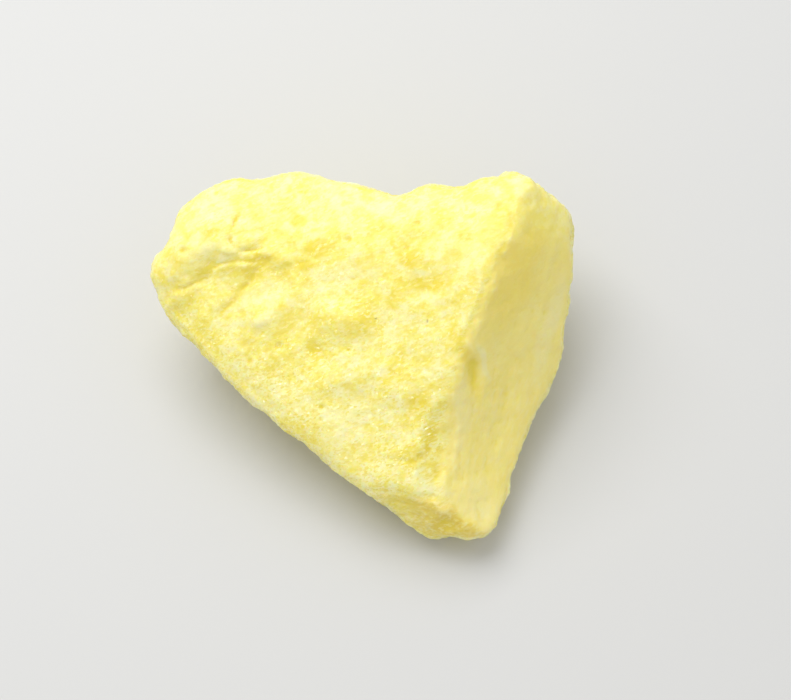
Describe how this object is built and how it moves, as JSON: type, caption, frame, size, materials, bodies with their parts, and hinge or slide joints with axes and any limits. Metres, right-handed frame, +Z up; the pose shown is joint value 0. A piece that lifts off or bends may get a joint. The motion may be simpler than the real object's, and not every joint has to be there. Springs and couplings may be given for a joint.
{
  "type": "native sulfur crystal",
  "caption": "Rough lump of yellow native sulfur, heart-shaped from above, with a granular broken face, a smoother face along a ridge and a flat fracture to rest on.",
  "frame": {"origin": "Centre of the bounding box's bottom face, on the surface the lump lies on.", "axes": "+X along the lump's length, towards the end with the smooth face. +Y across it, towards the high side. +Z up."},
  "size_m": [0.0508, 0.0422, 0.0256],
  "materials": {
    "sulfur": "Lemon-yellow granular sulfur, slightly translucent, matte with fine resinous glints; a paler, smoother face on the right."
  },
  "bodies": {
    "root": {"sulfur_crystal": "sulfur"}
  },
  "joints": []
}
